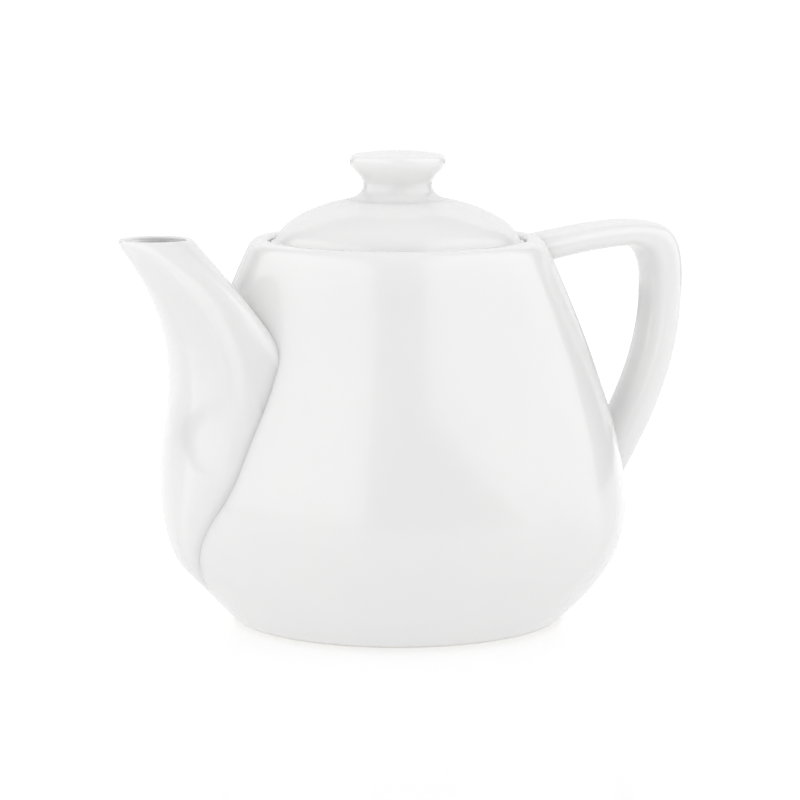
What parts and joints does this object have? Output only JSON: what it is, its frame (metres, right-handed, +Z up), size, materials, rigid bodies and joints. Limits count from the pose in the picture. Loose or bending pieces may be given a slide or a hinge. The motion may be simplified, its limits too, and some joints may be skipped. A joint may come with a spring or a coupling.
{
  "type": "teapot",
  "caption": "Round white porcelain teapot with a broad spout, a strap handle and a recessed domed lid that lifts off by its spool knob.",
  "frame": {"origin": "centre of the foot ring, on the table, which is on the pot's own axis", "axes": "+Z up the pot's axis, -X towards the spout's tip, +X towards the handle, +Y across"},
  "size_m": [0.1632, 0.1274, 0.1304],
  "materials": {
    "porcelain_body": "clear gloss glaze over white porcelain, foot ring wiped free of glaze",
    "porcelain_spout": "clear gloss glaze over white porcelain",
    "porcelain_handle": "clear gloss glaze over white porcelain",
    "porcelain_lid": "clear gloss glaze over white porcelain, seating face wiped free of glaze",
    "porcelain_knob": "clear gloss glaze over white porcelain",
    "porcelain_lug": "clear gloss glaze over white porcelain"
  },
  "bodies": {
    "pot": {"body": "porcelain_body", "spout": "porcelain_spout", "handle": "porcelain_handle"},
    "lid": {"lid": "porcelain_lid", "lid_knob": "porcelain_knob", "lid_lug": "porcelain_lug"}
  },
  "joints": [
    {"name": "lid_lift", "type": "slide", "parent": "pot", "child": "lid", "axis": [0, 0, 1], "range_m": [0, 0.06]}
  ]
}
